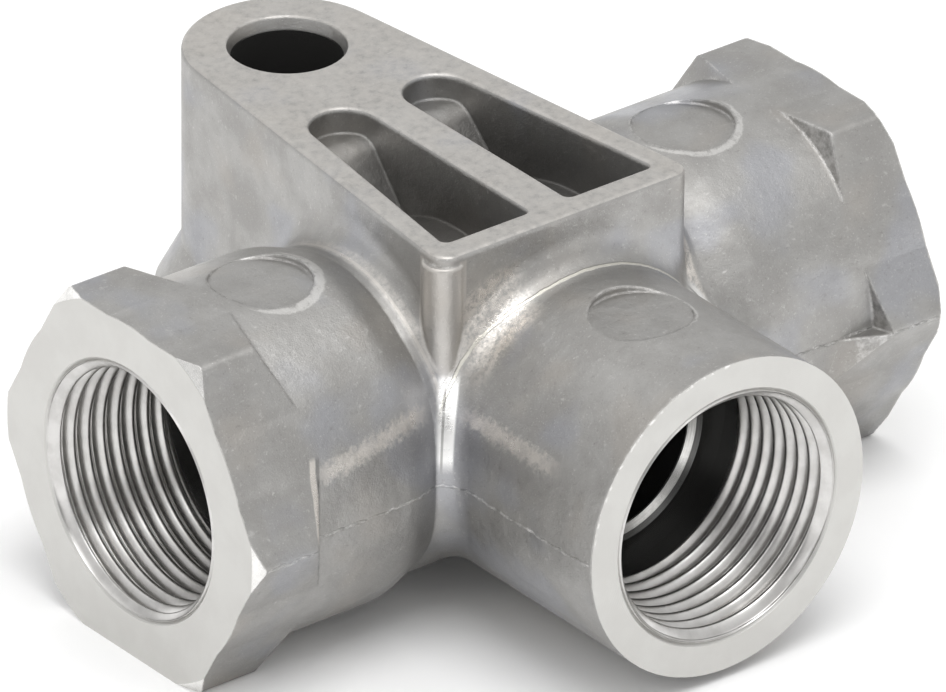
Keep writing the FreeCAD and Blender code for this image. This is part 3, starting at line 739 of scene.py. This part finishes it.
def camera():
    """Camera that looks along the fitted direction from VIEW_DISTANCE before the crossing of the axes."""
    azimuth, roll = np.radians([VIEW_AZIMUTH, VIEW_ROLL])
    back = toward_camera()
    right = np.array([np.cos(azimuth), np.sin(azimuth), 0.0])
    up = np.cross(back, right)
    right, up = (right * np.cos(roll) + up * np.sin(roll), up * np.cos(roll) - right * np.sin(roll))
    place = CROSSING + back * VIEW_DISTANCE
    place = place + right * VIEW_SHIFT_RIGHT + up * VIEW_SHIFT_UP
    data = bpy.data.cameras.new("camera")
    data.sensor_width = 36.0
    data.lens = PIXELS_PER_MM * VIEW_DISTANCE / PHOTO_WIDTH * data.sensor_width
    data.clip_end = 20.0
    shot = bpy.data.objects.new("camera", data)
    shot.matrix_world = Matrix([[*row, offset] for row, offset in
                                zip(np.stack([right, up, back], 1), place * MM)] + [[0, 0, 0, 1]])
    bpy.context.scene.collection.objects.link(shot)
    bpy.context.scene.camera = shot


def soft_light(name, place, size, power):
    """Square lamp that faces the valve."""
    data = bpy.data.lights.new(name, "AREA")
    data.size = size
    data.energy = power
    lamp = bpy.data.objects.new(name, data)
    lamp.location = place
    lamp.rotation_euler = (Vector((0, 0, AXIS_Z * MM)) - lamp.location).to_track_quat("-Z", "Y").to_euler()
    bpy.context.scene.collection.objects.link(lamp)


def room():
    """World that lights the valve: bright overhead, dimmer at eye level, a bright strip at the horizon.

    It is darker round the camera, where the photographer stands, and white where the camera sees it.
    """
    world = bpy.data.worlds.new("room")
    bpy.context.scene.world = world
    world.use_nodes = True
    tree = world.node_tree
    way = tree.nodes.new("ShaderNodeTexCoord").outputs["Generated"]
    up = tree.nodes.new("ShaderNodeSeparateXYZ")
    tree.links.new(way, up.inputs[0])

    def ranged(value, low, high, to_low, to_high):
        made = tree.nodes.new("ShaderNodeMapRange")
        made.interpolation_type = "SMOOTHSTEP"
        tree.links.new(value, made.inputs["Value"])
        for name, given in (("From Min", low), ("From Max", high), ("To Min", to_low), ("To Max", to_high)):
            made.inputs[name].default_value = given
        return made.outputs[0]

    def joined(operation, first, second):
        made = tree.nodes.new("ShaderNodeMath")
        made.operation = operation
        tree.links.new(first, made.inputs[0])
        tree.links.new(second, made.inputs[1])
        return made.outputs[0]

    facing = tree.nodes.new("ShaderNodeVectorMath")
    facing.operation = "DOT_PRODUCT"
    tree.links.new(way, facing.inputs[0])
    facing.inputs[1].default_value = tuple(toward_camera())
    height = up.outputs["Z"]
    light = joined("ADD", ranged(height, 0.3, 0.75, EYE_LEVEL_LIGHT, OVERHEAD_LIGHT),
                   ranged(height, 0.1, 0.2, HORIZON_LIGHT, 0.0))
    light = joined("MULTIPLY", light, ranged(facing.outputs["Value"], 0.93, 0.985, 1.0, CAMERA_SIDE_SHARE))
    strength = tree.nodes.new("ShaderNodeMix")
    tree.links.new(tree.nodes.new("ShaderNodeLightPath").outputs["Is Camera Ray"], strength.inputs[0])
    tree.links.new(light, strength.inputs[2])
    strength.inputs[3].default_value = 1.0
    tree.links.new(strength.outputs[0], tree.nodes["Background"].inputs["Strength"])
    tree.nodes["Background"].inputs["Color"].default_value = (1, 1, 1, 1)


def studio():
    """White floor and three soft lamps."""
    for lamp in LAMPS:
        soft_light(*lamp)
    mesh = bpy.data.meshes.new("floor")
    corners = [(FLOOR_HALF * x, FLOOR_HALF * y, 0) for x, y in ((-1, -1), (1, -1), (1, 1), (-1, 1))]
    mesh.from_pydata(corners, [], [(0, 1, 2, 3)])
    floor = bpy.data.objects.new("floor", mesh)
    bpy.context.scene.collection.objects.link(floor)
    pale = bpy.data.materials.new("pale_floor")
    pale.use_nodes = True
    pale.node_tree.nodes["Principled BSDF"].inputs["Base Color"].default_value = (1, 1, 1, 1)
    pale.node_tree.nodes["Principled BSDF"].inputs["Roughness"].default_value = 0.9
    mesh.materials.append(pale)


bpy.context.scene.view_settings.view_transform = "Standard"
camera()
room()
studio()

metal = cast_aluminium()
thread_metal = cut_thread()
dress("valve_body", metal)
dress("seat_bush", plain_finish("brass_bush", (0.62, 0.47, 0.22), 1.0, 0.28, 0.4, 0.01))
dress("retaining_ring", plain_finish("spring_steel", (0.16, 0.16, 0.165), 0.9, 0.4, 0.3, 0.01))
rubber = plain_finish("black_rubber", (0.018, 0.018, 0.018), 0.0, 0.6, 0.25, 0.02)
for seal in ("seat_bush_o_ring", "shuttle_seal_left", "shuttle_seal_right"):
    dress(seal, rubber)
dress("shuttle", plain_finish("moulded_plastic", (0.05, 0.05, 0.05), 0.0, 0.45, 0.4, 0.015))

port_thread("left_inlet_thread", CROSSING + [-RUN_HALF, 0, 0], (-1, 0, 0), (0, 1, 0), thread_metal)
port_thread("right_inlet_thread", CROSSING + [RUN_HALF, 0, 0], (1, 0, 0), (0, 1, 0), thread_metal)
port_thread("outlet_thread", CROSSING + [0, -OUTLET_REACH, 0], (0, -1, 0), (1, 0, 0), thread_metal)

flash_runs = []
for side, name in ((-1, "left"), (1, "right")):
    ridge = np.array([(RUN_HALF - 0.8, HEX_VERTEX - 0.12), (HEX_RIDGE_END[side] - 0.1, HEX_VERTEX - 0.12)])
    neck = np.array([(HEX_FOOT[side], NECK_RADIUS), (WAIST_HALF + WAIST_RAMP + 1.0, NECK_RADIUS)])
    flash_runs.append((f"flash_{name}_hexagon_front", ridge * (side, -1), side, FLASH_HEIGHT["hexagon"]))
    flash_runs.append((f"flash_{name}_hexagon_back", ridge * (side, 1), -side, FLASH_HEIGHT["hexagon"]))
    flash_runs.append((f"flash_{name}_front", front_plan(side), side, FLASH_HEIGHT["front"]))
    flash_runs.append((f"flash_{name}_neck_back", neck * (side, 1), -side, FLASH_HEIGHT["neck"]))
for seed, (name, plan, outward_turn, height) in enumerate(flash_runs, start=1):
    parting_flash(name, plan, outward_turn, height, FLASH_WIDTH, seed, metal)
